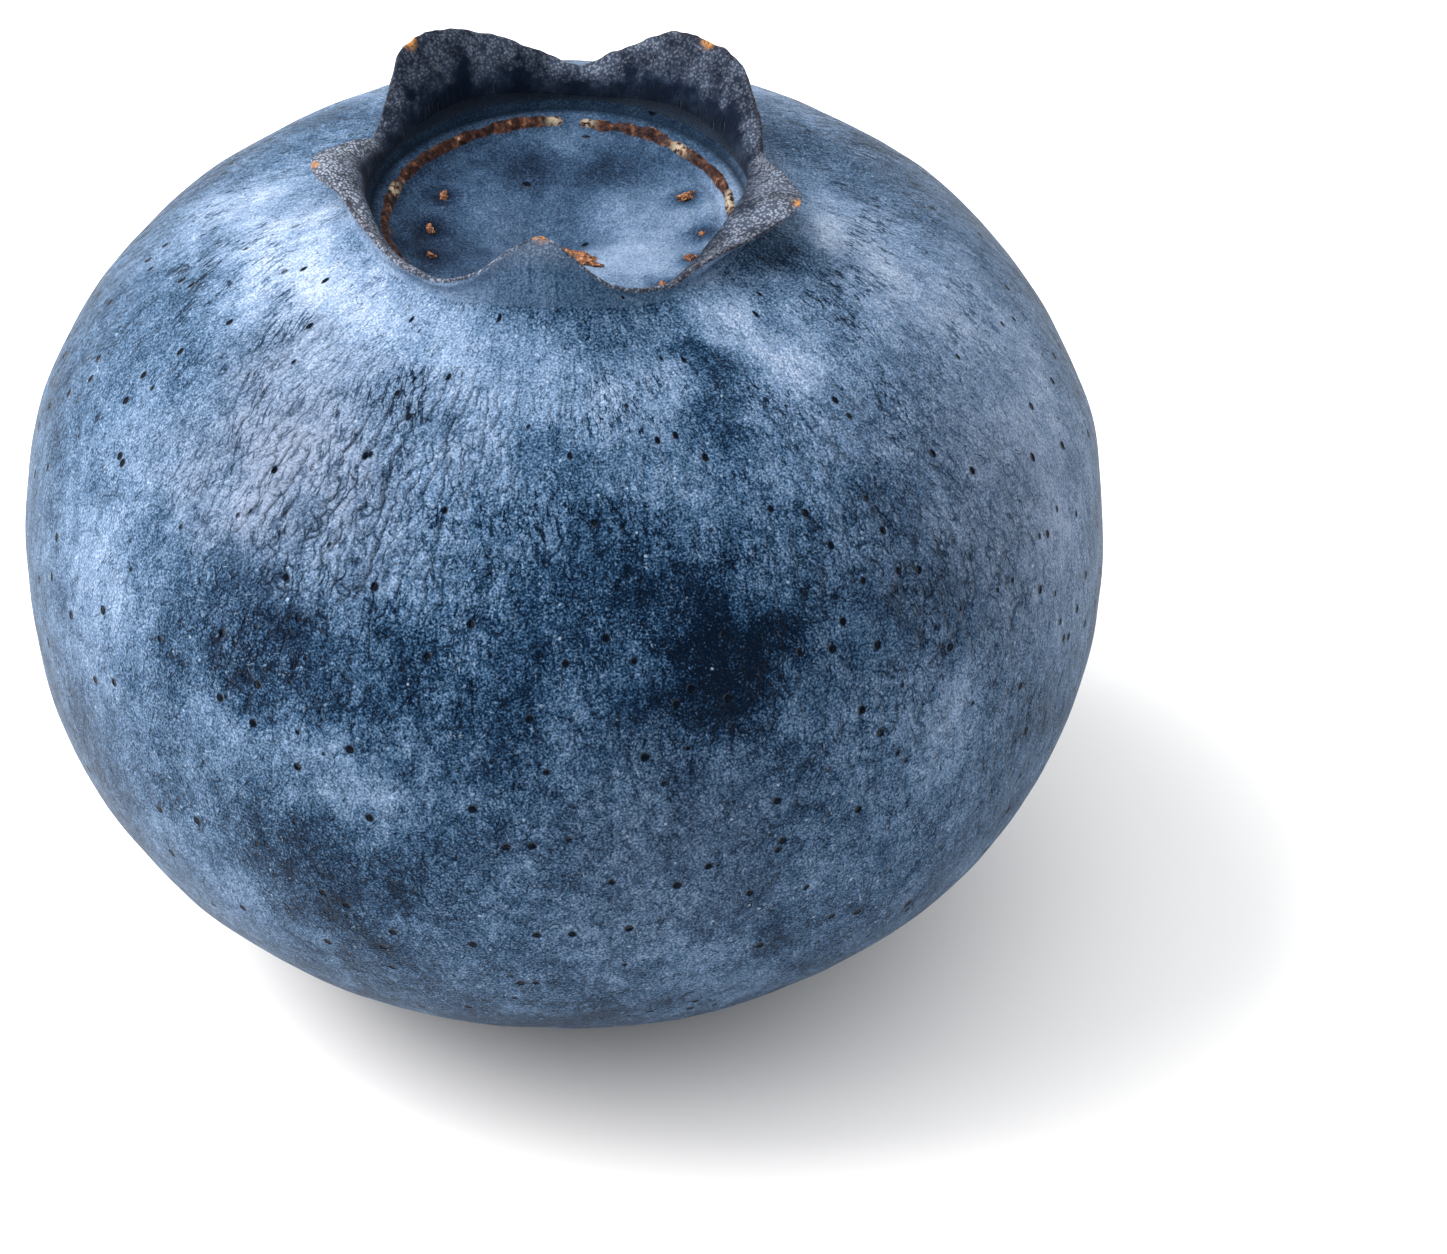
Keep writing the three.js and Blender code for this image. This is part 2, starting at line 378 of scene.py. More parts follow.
def sepal_row(part, climb, sideways, beyond=0.0):
    """sideways is 1 on the outside and -1 on the inside; beyond runs over the rounded edge."""
    half = (SEPAL_FOOT_THICKNESS + (SEPAL_EDGE_THICKNESS - SEPAL_FOOT_THICKNESS) * climb) / 2
    reach = length * climb + half * beyond
    tilt = lean * climb
    wave = climb ** 1.5 * 0.09 * ripple(round_x, round_y, 0.5 * climb, 0.28, 21)
    rib = -0.05 * bump(side, 0, 0.1) * climb * (1 - 0.6 * climb)
    belly = -own("belly") * bump(climb, 0.35, 0.2) * (1 - side ** 2)
    radius = CROWN_RADIUS + reach * np.sin(tilt) + sideways * half * np.cos(2 * tilt) + wave + rib + belly
    height = SEPAL_FOOT_LEVEL + swell + reach * np.cos(tilt) - sideways * half * np.sin(2 * tilt)
    add_row(part, climb, radius, height, draw * climb)


climbs = np.linspace(0, 1, SEPAL_ROWS)
for climb in climbs:
    sepal_row("outside", climb, 1)
for quarter in (0.25, 0.5, 0.75):
    sepal_row("edge", 1, math.cos(quarter * math.pi), math.sin(quarter * math.pi))
for climb in climbs[::-1]:
    sepal_row("inside", climb, -1)

# %% Disc
DISC_ROWS = 46


def disc_height(radius):
    """The margin falls to the corky ring; inside it come a step, a faint ridge and the pit."""
    return (RING_LEVEL
            + (SEPAL_FOOT_LEVEL - RING_LEVEL) * smooth(radius, RING_RADIUS, DISC_RADIUS + 0.1)
            - 0.12 * smooth(-radius, -RING_RADIUS - 0.06, -RING_RADIUS + 0.16)
            + 0.04 * bump(radius, 2.18, 0.09)
            - 0.1 * (1 - (radius / DISC_RADIUS) ** 2)
            - 0.36 * bump(radius, 0, 0.75))


for turn in np.linspace(0, 1, DISC_ROWS):
    radius = DISC_RADIUS * (1 - turn) ** 0.85
    add_row("disc", turn, radius, disc_height(radius))
print(f"{len(rows)} rows of {COLUMNS} columns")

# %% [markdown]
# Spinning the outline
#
# Turned work is what the spin operator is for: it revolves the outline and closes the last column
# on the first. Every vertex keeps the number of its row, so that it can be found again when the
# skin is shaped. The doubles that the spin leaves on the axis are merged, and only then do the
# faces get turned to point outwards.

# %% Spin
grid = {name: np.array([row[name] for row in rows]) for name in ("radius", "height", "turn")}
outline = np.stack([grid["radius"].mean(1), grid["height"].mean(1)], -1)


def spin(outline, columns, name):
    """Revolves an outline of radius and height, in millimetres, into a closed mesh."""
    shape = bmesh.new()
    row_number = shape.verts.layers.float.new("row")
    chain = [shape.verts.new((radius, 0, height)) for radius, height in outline]
    for number, vertex in enumerate(chain):
        vertex[row_number] = number
    for one, other in zip(chain, chain[1:]):
        shape.edges.new((one, other))
    bmesh.ops.spin(shape, geom=shape.verts[:] + shape.edges[:], axis=(0, 0, 1), cent=(0, 0, 0),
                   angle=2 * math.pi, steps=columns, use_merge=True)
    bmesh.ops.remove_doubles(shape, verts=shape.verts[:], dist=1e-4)
    bmesh.ops.recalc_face_normals(shape, faces=shape.faces[:])
    mesh = bpy.data.meshes.new(name)
    shape.to_mesh(mesh)
    shape.free()
    return mesh


skin = spin(outline, COLUMNS, "berry_skin")
print(f"the skin has {len(skin.vertices)} vertices and {len(skin.polygons)} faces")

# %% Each vertex's row and column
count = len(skin.vertices)
spun = np.empty(count * 3)
skin.vertices.foreach_get("co", spun)
spun = spun.reshape(-1, 3)
row_of = np.empty(count)
skin.attributes["row"].data.foreach_get("value", row_of)
row_of = row_of.round().astype(int)
column_of = (np.arctan2(spun[:, 1], spun[:, 0]) / (2 * math.pi) * COLUMNS).round().astype(int) % COLUMNS
skin.attributes.remove(skin.attributes["row"])

# %% [markdown]
# Shaping the skin
#
# A real berry isn't a turned one. It has broad soft dents, and creases that run up to the crown
# like the folds of a purse. The dents are pushed along the skin's own direction and fade out
# towards the resting patch, so the berry still stands flat.

# %% Dents and folds
around = angles + grid["turn"]
x = grid["radius"] * np.cos(around)
y = grid["radius"] * np.sin(around)
z = grid["height"]
part = np.array([row["part"] for row in rows])
on_body = np.isin(part, ("body", "collar"))[:, None]
above_rest = smooth(z, 0.1, 2.0) * on_body
depth_scale = 1 - 0.7 * smooth(z, 11.0, 12.4)
push = 0.06 * ripple(x, y, z, 5.0, 40) + 0.035 * ripple(x, y, z, 1.6, 41)
push = push + 0.012 * ripple(x, y, 0.6 * z, 0.55, 43)
folds = 0.05 * ripple(3 * round_x, 3 * round_y, 0, 0.7, 42) * bump(z, 11.4, 1.3)
dent = (push * depth_scale + folds) * above_rest
direction = np.stack([x, y, (z - WIDEST_LEVEL) * 1.3], -1)
direction /= np.linalg.norm(direction, axis=-1, keepdims=True) + 1e-9
x, y, z = (axis + dent * direction[..., k] for k, axis in enumerate((x, y, z)))
print(f"dents from {dent.min():.2f} to {dent.max():.2f} mm")

# %% Pleats at the foot of the crown
climb_of = np.array([row["climb"] for row in rows])[:, None]
foot = (part == "collar")[:, None] * smooth(climb_of, 0.2, 1)
foot = foot + (part == "outside")[:, None] * (1 - climb_of)
pleat = 0.018 * ripple(round_x, round_y, 0.0, 0.075, 55) * foot
x, y = x + pleat * round_x, y + pleat * round_y

# %% [markdown]
# The disc and its corky ring
#
# The petals and stamens stood on the ring, and their scar healed over with cork: a thin, lumpy,
# broken brown cord. The disc around it is soft and a little uneven.

# %% Ring and disc relief
on_disc = (part == "disc")[:, None]
reach = np.hypot(x, y)
wander = 0.05 * ripple(round_x, round_y, 0, 0.5, 60) + 0.025 * ripple(round_x, round_y, 0, 0.13, 67)
RING_GAP, RING_GAP_WIDTH = 87, 3.5  # where the ring is broken, in degrees
ring_gap = 1 - bump(np.degrees(angles), RING_GAP, RING_GAP_WIDTH)
ring_width = 0.068 + 0.03 * ripple(round_x, round_y, 0, 0.1, 65)
cork = bump(reach, RING_RADIUS + wander, ring_width) * on_disc * ring_gap
RING_HEIGHT, GROOVE_RADIUS, GROOVE_DEPTH = 0.17, 2.71, 0.15
lumps = 0.55 + 0.45 * ripple(x, y, z, 0.17, 61) + 0.3 * ripple(x, y, z, 0.07, 62)
uneven = 0.05 * ripple(x, y, 0, 0.9, 63) + 0.016 * ripple(x, y, 0, 0.22, 64)
groove = bump(reach, GROOVE_RADIUS, 0.07) * on_disc
z = z + RING_HEIGHT * cork * lumps + uneven * smooth(-reach, -2.7, -2.2) * on_disc - GROOVE_DEPTH * groove

# %% Set the vertices in place
place = np.stack([x, y, z], -1)[row_of, column_of] * MM
skin.vertices.foreach_set("co", place.ravel())
skin.update()
berry = bpy.data.objects.new("berry_fruit", skin)
scene.collection.objects.link(berry)
for polygon in skin.polygons:
    polygon.use_smooth = True
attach(berry, "root")
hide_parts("berry")
print("the berry's box in millimetres:", [round(d / MM, 2) for d in berry.dimensions])

# %% [markdown]
# Where each finish goes
#
# The skin is one piece, so its finishes meet without seams. Each vertex carries a few numbers from
# 0 to 1. Some say where a part is: the crown and its brown rim and orange tips, the corky ring and
# its pale lumps, the scar. Others say where a mark can be: frost on the dried sepals, pores on the
# body and scuffs on its shoulder. One is painted shade, which darkens the groove beside the disc and
# the foot of the sepals' inside. The finish reads them and adds its own fine pattern on top.

# %% Where the parts are


def on(*names):
    """1 on the rows of these parts, 0 elsewhere."""
    return np.isin(part, names)[:, None].astype(float)


PALE_LUMPS = [(166, 4), (46, 4), (367, 6), (82, 3), (92, 3)]  # degrees round the ring, and how wide
ones = np.ones_like(x)
tall = smooth(length * climb_of, 0.45, 0.95)

# how far each point is from the tip of its own sepal
tip_columns = np.array([np.argmin(np.where(which == k, np.abs(side), 9)) for k in range(5)])[which]
tip_row = int(np.flatnonzero(part == "edge")[1])
to_tip = np.sqrt(sum((axis - axis[tip_row, tip_columns]) ** 2 for axis in (x, y, z)))
print("the tips' middle row is row", tip_row)

# %% Masks
inner_frost = on("inside") * (0.1 + smooth(climb_of, 0.1, 0.8)) + on("edge")
masks = {
    "crown": (on("inside", "edge") + 0.5 * on("outside") * tall) * ones,
    "rim": (on("outside", "inside") * smooth(climb_of, 0.95, 1) + on("edge")) * own("brown"),
    "tip": smooth(-to_tip, -0.15, -0.05) * on("outside", "edge", "inside"),
    "frost": (inner_frost * own("frost") + 0.5 * on("outside")) * ones,
    "cork": cork * np.clip(0.6 + 0.5 * lumps, 0, 1),
    "pale": cork * sum(bump(degrees, at, width) for at, width in PALE_LUMPS),
    # painted shade: the groove beside the disc and the foot of the sepals' inside
    "shade": np.clip(groove + on("inside") * (1 - smooth(climb_of * length, 0, 0.3)), 0, 1),
    "bare": on("body", "collar") * ones,
    "porous": on("body") * smooth(-z, -11.6, -10.2),
    "scuffed": on("body") * smooth(z, 9.6, 11.4),
    "scar": on("scar") * ones,
}
print({name: round(float(mask.mean()), 3) for name, mask in masks.items()})

# %% [markdown]
# The bloom
#
# Bloom is the pale wax that a blueberry grows on its dark skin. Fingers and other berries rub it
# off, so it lies in patches: thick and pale blue round the crown, thin and dark in a band lower
# down. The patches are placed at an angle round the berry and a climb above its widest level, and
# their borders are made ragged by noise. One of them, on the near left shoulder, is partly a painted
# sheen. Two more lists say where the rubbed wax has gone grey, with a painted grey-lilac sheen on
# the near left shoulder, and where the skin lies in small folds. On the disc the patches are mostly
# painted light at the front and right and painted shade at the back and left, over uneven wax.

# %% Bloom patches: degrees round, degrees up, size in millimetres, how much more or less wax; one adds a painted sheen
BLOOM_AND_SHEEN_PATCHES = [
    # thick round the crown
    (-170, 55, 1.0, 0.34), (-150, 56, 1.1, 0.34), (168, 48, 1.4, 0.36), (-128, 58, 0.9, 0.18),
    (-135, 50, 1.1, 0.06), (-104, 56, 0.8, 0.16), (-92, 51, 0.9, 0.14), (-76, 49, 0.8, 0.22),
    (-46, 53, 0.9, 0.44), (-12, 51, 1.2, 0.34), (2, 42, 1.6, 0.10),
    # thicker on the left side and low in front; the first is partly a painted sheen on the near left
    # shoulder
    (-129, 38, 1.8, 0.25), (-150, 28, 1.8, 0.17), (-112, 8, 1.0, 0.32), (-127, 8, 0.8, 0.18),
    (-147, 13, 1.1, 0.25), (-45, 4, 1.0, 0.25), (-95, -22, 1.3, 0.10), (-76, -20, 1.0, 0.10),
    # thicker on the right side
    (-18, 24, 1.5, 0.14), (-130, -14, 1.4, 0.14), (-38, 37, 1.6, 0.14), (-10, 40, 1.6, 0.12),
    (-103, 40, 1.3, 0.08),
    # thicker at the back
    (70, 45, 1.6, 0.34), (120, 40, 1.3, 0.30), (30, 8, 1.5, 0.28), (95, 20, 1.2, 0.26),
    (140, 0, 1.4, 0.2),
    # the dark band across the front
    (-71, 21, 0.8, -0.66), (-58, 17, 0.8, 0.10), (-76, 25, 1.5, -0.14), (-84, 30, 1.1, -0.10),
    (-122, 20, 0.8, -0.26), (-108, 17, 1.0, -0.16), (-98, 20, 1.0, -0.12), (-136, 18, 0.8, -0.14),
    # small rubbed spots on the shoulder and the sides, and what is left beside them
    (-61, 53, 0.4, -0.42), (-63, 46, 0.45, -0.36), (-66, 37, 0.7, 0.03), (-24, 58, 0.6, -0.32),
    (-10, 28, 1.8, 0.13), (-25, 10, 1.5, 0.16), (-172, 42, 0.7, -0.12), (-154, 24, 0.5, -0.12),
    # thin low down and at the back
    (-88, -12, 1.2, 0.04), (-114, -6, 1.3, -0.28), (-86, -25, 1.1, -0.14), (-90, -40, 1.4, -0.14),
    (60, 15, 1.8, -0.22), (150, 14, 1.3, -0.2), (100, -10, 1.6, -0.14),
]
# greyer rubbed wax; the first patch, on the near left shoulder, is a painted grey-lilac sheen
GREY_WAX_AND_SHEEN_PATCHES = [
    (-130, 38, 1.8, 0.9), (-78, 0, 1.9, 0.45), (-30, 22, 2.4, 0.6), (50, 20, 2.4, 0.7),
    (130, -5, 2.0, 0.6),
]
FOLDED_PATCHES = [
    (-118, 33, 3.0, 0.9), (-45, 18, 3.2, 0.8), (-85, 0, 2.5, 0.35), (60, 20, 3.5, 0.8),
    (150, 25, 3.0, 0.8),
]
# on the disc: millimetres across, millimetres towards the back, size, how much lighter or darker.
# Mostly painted light at the front and right and painted shade at the back and left, with some
# uneven wax.
DISC_WAX_AND_LIGHT_PATCHES = [
    (1.3, -0.9, 1.2, 0.36), (0.0, -0.7, 0.9, 0.12), (2.4, 0.6, 0.6, 0.3), (0.0, 2.5, 0.6, 0.06),
    (0.5, 1.4, 0.45, -0.22), (-0.6, 1.5, 0.5, -0.16), (-2.0, 0.7, 0.7, -0.10), (-2.1, -0.6, 0.5, -0.18),
    (0.1, -0.1, 0.4, -0.14), (-1.2, -0.6, 0.8, -0.05), (-0.6, 0.4, 0.6, 0.08), (1.1, 0.7, 0.6, 0.08),
]
USUAL_BLOOM = 0.46
USUAL_DISC_BLOOM = 0.38
print(len(BLOOM_AND_SHEEN_PATCHES), "patches on the skin and", len(DISC_WAX_AND_LIGHT_PATCHES), "on the disc")


def on_the_body(azimuth, climb):
    """The point of the plain body in a direction from the middle of its widest level."""
    a, c = math.radians(azimuth), math.radians(climb)
    half = HEIGHT_ABOVE_WIDEST if climb > 0 else DEPTH_BELOW_WIDEST
    level_share, upright_share = math.cos(c) / BERRY_RADIUS, abs(math.sin(c)) / half
    reach = (level_share ** FULLNESS + upright_share ** FULLNESS) ** (-1 / FULLNESS)
    flat = reach * math.cos(c)
    return flat * math.cos(a), flat * math.sin(a), WIDEST_LEVEL + reach * math.sin(c)


# %% Spread the bloom
SMUDGE_DEPTH, SMUDGE_SIZE = 0.34, 0.22  # the dark smudge round each crumb on the disc
crumb_nodes = [f"stamen_crumb_{number:02d}" for number in range(1, 11)]
crumb_places = [sum(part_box(node), Vector()) / 2 / MM for node in crumb_nodes]
stray = [0.6 * ripple(x, y, z, 1.1, seed) + 0.4 * ripple(x, y, z, 0.4, seed + 1) for seed in (70, 80, 90)]


def paint(field, patches):
    """Adds soft round patches, with ragged borders, to a field over the skin."""
    for azimuth, climb, size, amount in patches:
        middle = on_the_body(azimuth, climb)
        away = sum((axis + shift - at) ** 2 for axis, shift, at in zip((x, y, z), stray, middle))
        field = field + amount * np.exp(-away / size ** 2)
    return field


bloom = USUAL_BLOOM + 0.08 * ripple(x, y, z, 3.2, 95) + 0.1 * ripple(x, y, z, 0.8, 96)
bloom = paint(bloom - 0.06 * smooth(-z, -8, -3), BLOOM_AND_SHEEN_PATCHES)
masks["grey"] = np.clip(paint(0.0 * ones, GREY_WAX_AND_SHEEN_PATCHES), 0, 1) * on("body") + 0.35 * on("disc")
masks["folded"] = np.clip(paint(0.1 * ones, FOLDED_PATCHES), 0, 1) * on("body")
disc_wax_and_light = USUAL_DISC_BLOOM + 0.08 * ripple(x, y, z, 0.6, 97)
# painted light and shade on the disc: lighter at the front and right, darker at the back and left
for across_disc, towards_back, size, amount in DISC_WAX_AND_LIGHT_PATCHES:
    away = (x + 0.4 * stray[0] - across_disc) ** 2 + (y + 0.4 * stray[1] - towards_back) ** 2
    disc_wax_and_light = disc_wax_and_light + amount * np.exp(-away / size ** 2)
for crumb in crumb_places:
    away = (x - crumb.x) ** 2 + (y - crumb.y) ** 2
    disc_wax_and_light = disc_wax_and_light - SMUDGE_DEPTH * np.exp(-away / SMUDGE_SIZE ** 2)
bloom = np.where(part[:, None] == "disc", disc_wax_and_light, bloom)
bloom = np.where(part[:, None] == "outside", bloom + 0.08 + 0.16 * tall, bloom)
# besides wax, this holds the painted sheen on the near left shoulder and painted light and shade on the
# disc
masks["bloom"] = np.clip(bloom, 0, 1)
print(f"bloom from {bloom.min():.2f} to {bloom.max():.2f}")

# %% [markdown]
# The grain
#
# Fine creases and wax streaks run up the berry towards the crown. A pattern can follow them if each
# vertex knows its place along the skin: two numbers go round the berry and the third climbs it. The
# disc and the scar have no grain, so there the numbers are just the place in space.

# %% Grain and masks go onto the mesh
steps = np.hypot(np.diff(x, axis=0), np.diff(z, axis=0))
steps = np.hypot(steps, np.diff(y, axis=0)).mean(1)
climbed = np.concatenate([[0], np.cumsum(steps)])[:, None] * ones
grain = np.stack([BERRY_RADIUS * round_x * ones, BERRY_RADIUS * round_y * ones, climbed], -1)
grainless = np.isin(part, ("disc", "scar"))
grain[grainless] = np.stack([x, y, z], -1)[grainless]


def write(name, values, kind="FLOAT", field="value"):
    """Stores one value for each vertex of the skin."""
    layer = skin.attributes.new(name, kind, "POINT")
    layer.data.foreach_set(field, values[row_of, column_of].astype(np.float32).ravel())


for name, mask in masks.items():
    write(name, mask)
write("grain", grain, "FLOAT_VECTOR", "vector")
print("attributes:", sorted(masks) + ["grain"])

# %% [markdown]
# Finishes
#
# A finish is a web of nodes that ends in a shader. The few kinds of pattern that a dried or waxy
# skin needs, such as clouds, cells and stretched streaks, get a method each, so that the recipe
# below reads like a list of what can be seen on the berry.

# %% Patterns and colours
class Finish(Web):
    """A material that is built up one node at a time."""

    def __init__(self, name):
        self.material = bpy.data.materials.new(name)
        self.material.use_nodes = True
        super().__init__(self.material.node_tree)

    def millimetres(self):
        """Each point's place on its piece, in millimetres."""
        return self.add("VectorMath", {"operation": "SCALE"},
                        {0: self.add("TexCoord", output="Object"), "Scale": 1 / MM})

    def read(self, name, output="Fac"):
        """A value that the vertices carry."""
        return self.add("Attribute", {"attribute_name": name}, output=output)

    def noise(self, place, size, detail=2.0, roughness=0.5, distortion=0.0, output=0):
        """Cloudy noise from 0 to 1. size is the length of its waves in millimetres."""
        return self.add("TexNoise", {}, {"Vector": place, "Scale": 1 / size, "Detail": detail,
                                         "Roughness": roughness, "Distortion": distortion}, output)

    def cells(self, place, size, output="Distance", **settings):
        """Cells about size millimetres apart: how far from their middle, or one colour for each."""
        return self.add("TexVoronoi", settings, {"Vector": place, "Scale": 1 / size}, output)

    def luck(self, place, size):
        """One number from 0 to 1 for each cell, to choose some cells and leave out others."""
        return self.add("SeparateColor", {}, {0: self.cells(place, size, "Color")})

    def stretch(self, place, longer, turn=(0, 0, 0)):
        """Makes a pattern longer along its third direction, which is turned first."""
        return self.add("Mapping", {"vector_type": "TEXTURE"},
                        {"Vector": place, "Rotation": turn, "Scale": (1, 1, longer)})

    def mix(self, share, one, other):
        """one where share is 0, other where it is 1."""
        colours = [value if isinstance(value, Wire) else (*value, 1) for value in (one, other)]
        return self.add("Mix", {"data_type": "RGBA"}, {0: share, 6: colours[0], 7: colours[1]}, output=2)

    def ramp(self, value, stops):
        """Turns a value into a colour. stops are pairs of a value and the colour it gets."""
        return self.add("ValToRGB", {"stops": stops}, {"Fac": value})

    def relief(self, height):
        """Bumps of a height in millimetres."""
        return self.add("Bump", {}, {"Height": height, "Distance": MM, "Strength": 1.0})

    def close(self, **sockets):
        """Ends the finish with its shader and returns the material."""
        named = {name.replace("_", " "): value for name, value in sockets.items()}
        shader = self.add("BsdfPrincipled", {}, named)
        self.add("OutputMaterial", {}, {"Surface": shader}, output=None)
        return self.material


# %% [markdown]
# The skin's wax
#
# The painted bloom is only the broad picture. Close up the wax is cloudy, mottled and grainy. It is
# scuffed and finely scratched, and where the skin lies in small folds the creases are darker: partly
# thinner wax, partly painted shade in the valleys. All of that is added to the painted value, which
# also carries painted light and shade on the disc, and the sum picks the colour from a ramp that runs
# from bare blue-black skin to thick pale wax. Where the film has been rubbed it is greyer, and on the
# near left shoulder the same grey paints a grey-lilac sheen.

# %% Clouds, mottle and grains
wax = Finish("bloomed skin")
place = wax.millimetres()
grain_place = wax.read("grain", "Vector")
bare = wax.read("bare")
clouds = wax.noise(place, 0.8, detail=7, roughness=0.7, distortion=0.4) - 0.5
mottle = wax.noise(wax.stretch(grain_place, 1.4), 0.24, detail=5, roughness=0.72, distortion=0.8) - 0.5
grains = wax.noise(place, 0.031, detail=0) - 0.5
print("three sizes of unevenness:", len(wax.tree.nodes), "nodes")

# %% Scuffs near the crown and scratches all over
scuff_place = wax.stretch(grain_place, 4.5, (-0.4, -0.4, 0))
scuffs = wax.noise(scuff_place, 0.1, detail=3, roughness=0.6, distortion=1.0).above(0.54, 0.61)
scuffs = scuffs * wax.noise(place, 1.1, detail=3).above(0.47, 0.6) * wax.read("scuffed")
scratch_place = wax.stretch(grain_place, 2.2, (0.2, 0.5, 0))
scratch_waves = wax.noise(scratch_place, 0.26, detail=2, distortion=1.4)
scratches = scratch_waves.above(0.475, 0.5) * scratch_waves.above(0.525, 0.5)
scratches = scratches * wax.noise(place, 0.22, detail=1).above(0.48, 0.6) * bare
print("with scuffs and scratches:", len(wax.tree.nodes), "nodes")

# %% Small folds: long cells whose borders are the creases
FOLD_WIDTH = 0.21
FOLD_BEND_SIZE = 1 / 2.6
bends = wax.noise(place, FOLD_BEND_SIZE, output="Color")
bent_place = wax.add("VectorMath", {"operation": "MULTIPLY_ADD"},
                     {0: bends, 1: (0.5, 0.5, 0.9), 2: grain_place})
fold_place = wax.stretch(bent_place, 2.7)
fold_middle = wax.cells(fold_place, FOLD_WIDTH)
fold_border = wax.cells(fold_place, FOLD_WIDTH, feature="DISTANCE_TO_EDGE")
folds_here = wax.read("folded") * wax.noise(place, 0.8, detail=3).above(0.3, 0.52)
shaded_creases = fold_border.above(0.12, 0.0) * folds_here
shaded_creases = shaded_creases * wax.noise(place, 0.25, detail=1).above(0.36, 0.56)
print("with folds:", len(wax.tree.nodes), "nodes")

# %% Wax film, which also carries the painted sheen, light and shade: how thick it is, and its colour
thickness_and_light = wax.read("bloom")
grey = wax.read("grey")
unevenness = 0.62 * clouds + 0.66 * mottle + 0.75 * grains - 0.5 * scuffs - 0.25 * scratches
# the creases are darker: partly thinner wax, partly painted shade in the fold valleys
unevenness = unevenness * (1 - 0.4 * grey) - 0.3 * shaded_creases
roughened = (1.35 - 0.75 * thickness_and_light) * (0.6 + 0.4 * bare) * unevenness
film_and_light = (thickness_and_light - 0.02 + roughened).clamped()
SKIN_COLOURS = [
    (0.0, (0.0006, 0.003, 0.010)), (0.2, (0.0028, 0.012, 0.032)), (0.35, (0.014, 0.040, 0.083)),
    (0.5, (0.046, 0.089, 0.157)), (0.65, (0.102, 0.163, 0.262)), (0.8, (0.175, 0.245, 0.365)),
    (0.9, (0.255, 0.325, 0.438)), (1.0, (0.35, 0.41, 0.52)),
]
RUBBED_AND_SHEEN_COLOURS = [
    (0.0, (0.004, 0.006, 0.012)), (0.5, (0.07, 0.085, 0.125)), (1.0, (0.36, 0.38, 0.46)),
]
# the grey mix is rubbed wax, and on the near left shoulder it paints a grey-lilac sheen
skin_colour = wax.mix(0.6 * grey, wax.ramp(film_and_light, SKIN_COLOURS), wax.ramp(film_and_light, RUBBED_AND_SHEEN_COLOURS))
print("with colour:", len(wax.tree.nodes), "nodes")

# %% [markdown]
# Pores and flecks
#
# Small dark pores dot the skin below the shoulder. Crumbs and threads of loose wax lie on top.

# %% Pores
PORE_SPACING = 0.46
pore_luck = wax.luck(grain_place, PORE_SPACING)
pore_zone = wax.read("porous") * wax.noise(place, 2.4, detail=1).above(0.3, 0.5)
pore_rim = wax.cells(grain_place, PORE_SPACING)
pores = pore_rim.above(0.17, 0.11) * (pore_luck + 0.5 * pore_zone).above(0.72, 0.75)
pores = pores + pore_rim.above(0.1, 0.05) * pore_luck.above(0.36, 0.32) * pore_zone

# %% Flecks and threads of loose wax
FLECK_SPACING = 0.13
fleck_luck = wax.luck(place, FLECK_SPACING)
flecks = wax.cells(place, FLECK_SPACING).above(0.24, 0.1) * fleck_luck.above(0.94, 0.96)


def loose_threads(turn):
    """Short hairs of wax that all lean one way."""
    hairs = wax.noise(wax.stretch(grain_place, 6, turn), 0.035, detail=1, distortion=0.6)
    return hairs.above(0.68, 0.78)


threads = loose_threads((0.5, 1.1, 0)) + loose_threads((-0.9, -0.7, 0))
threads = threads + loose_threads((0.1, -0.2, 0))
thread_zone = wax.noise(place, 0.9, detail=2).above(0.4, 0.6)
loose_wax = (flecks + 0.6 * threads * thread_zone).clamped() * film_and_light.above(0.02, 0.25) * bare

# %% Skin with all its marks
LOOSE_WAX, PORE, PAINTED_SHADE = (0.32, 0.43, 0.56), (0.0002, 0.001, 0.004), (0.002, 0.005, 0.012)
shade = wax.read("shade")
marked = wax.mix(0.6 * loose_wax, skin_colour, LOOSE_WAX)
marked = wax.mix(pores.clamped(), marked, PORE)
# painted shade in the groove beside the disc and at the foot of the sepals' inside
marked = wax.mix(0.9 * shade, marked, PAINTED_SHADE)
print("with pores, flecks and threads:", len(wax.tree.nodes), "nodes")

# %% [markdown]
# Sepals, ring and scar
#
# The sepals have dried to dark slate under a frost of wax grains. Their edges have gone brown and
# their tips orange. The ring and the stem scar are brown cork.

# %% Dried sepals
DARK_SLATE, PALE_SLATE = (0.004, 0.007, 0.016), (0.020, 0.032, 0.058)
SEPAL_FROST = (0.46, 0.51, 0.62)
BROWN_RIM, ORANGE_TIP, SEPAL_PAINTED_SHADE = (0.035, 0.018, 0.016), (0.42, 0.19, 0.05), (0.004, 0.006, 0.012)
frost_cloud = wax.noise(place, 0.4, detail=4, roughness=0.6)
frost_grain = wax.cells(place, 0.045).above(0.62, 0.22)
frost = (0.14 + 0.86 * frost_grain) * (wax.read("frost") + 0.9 * frost_cloud - 0.52).clamped()
slate = wax.mix(frost_cloud.above(0.38, 0.66), DARK_SLATE, PALE_SLATE)
sepal_colour = wax.mix(frost, slate, SEPAL_FROST)
brown_edge = wax.read("rim") * wax.noise(place, 0.12).above(0.35, 0.6)
sepal_colour = wax.mix(0.4 * brown_edge, sepal_colour, BROWN_RIM)
# the same painted shade darkens the foot of the sepals' inside
sepal_colour = wax.mix(0.7 * shade, sepal_colour, SEPAL_PAINTED_SHADE)
orange_tip = wax.read("tip") * wax.noise(place, 0.06).above(0.3, 0.5)
sepal_colour = wax.mix(orange_tip, sepal_colour, ORANGE_TIP)
print("with dried sepals:", len(wax.tree.nodes), "nodes")

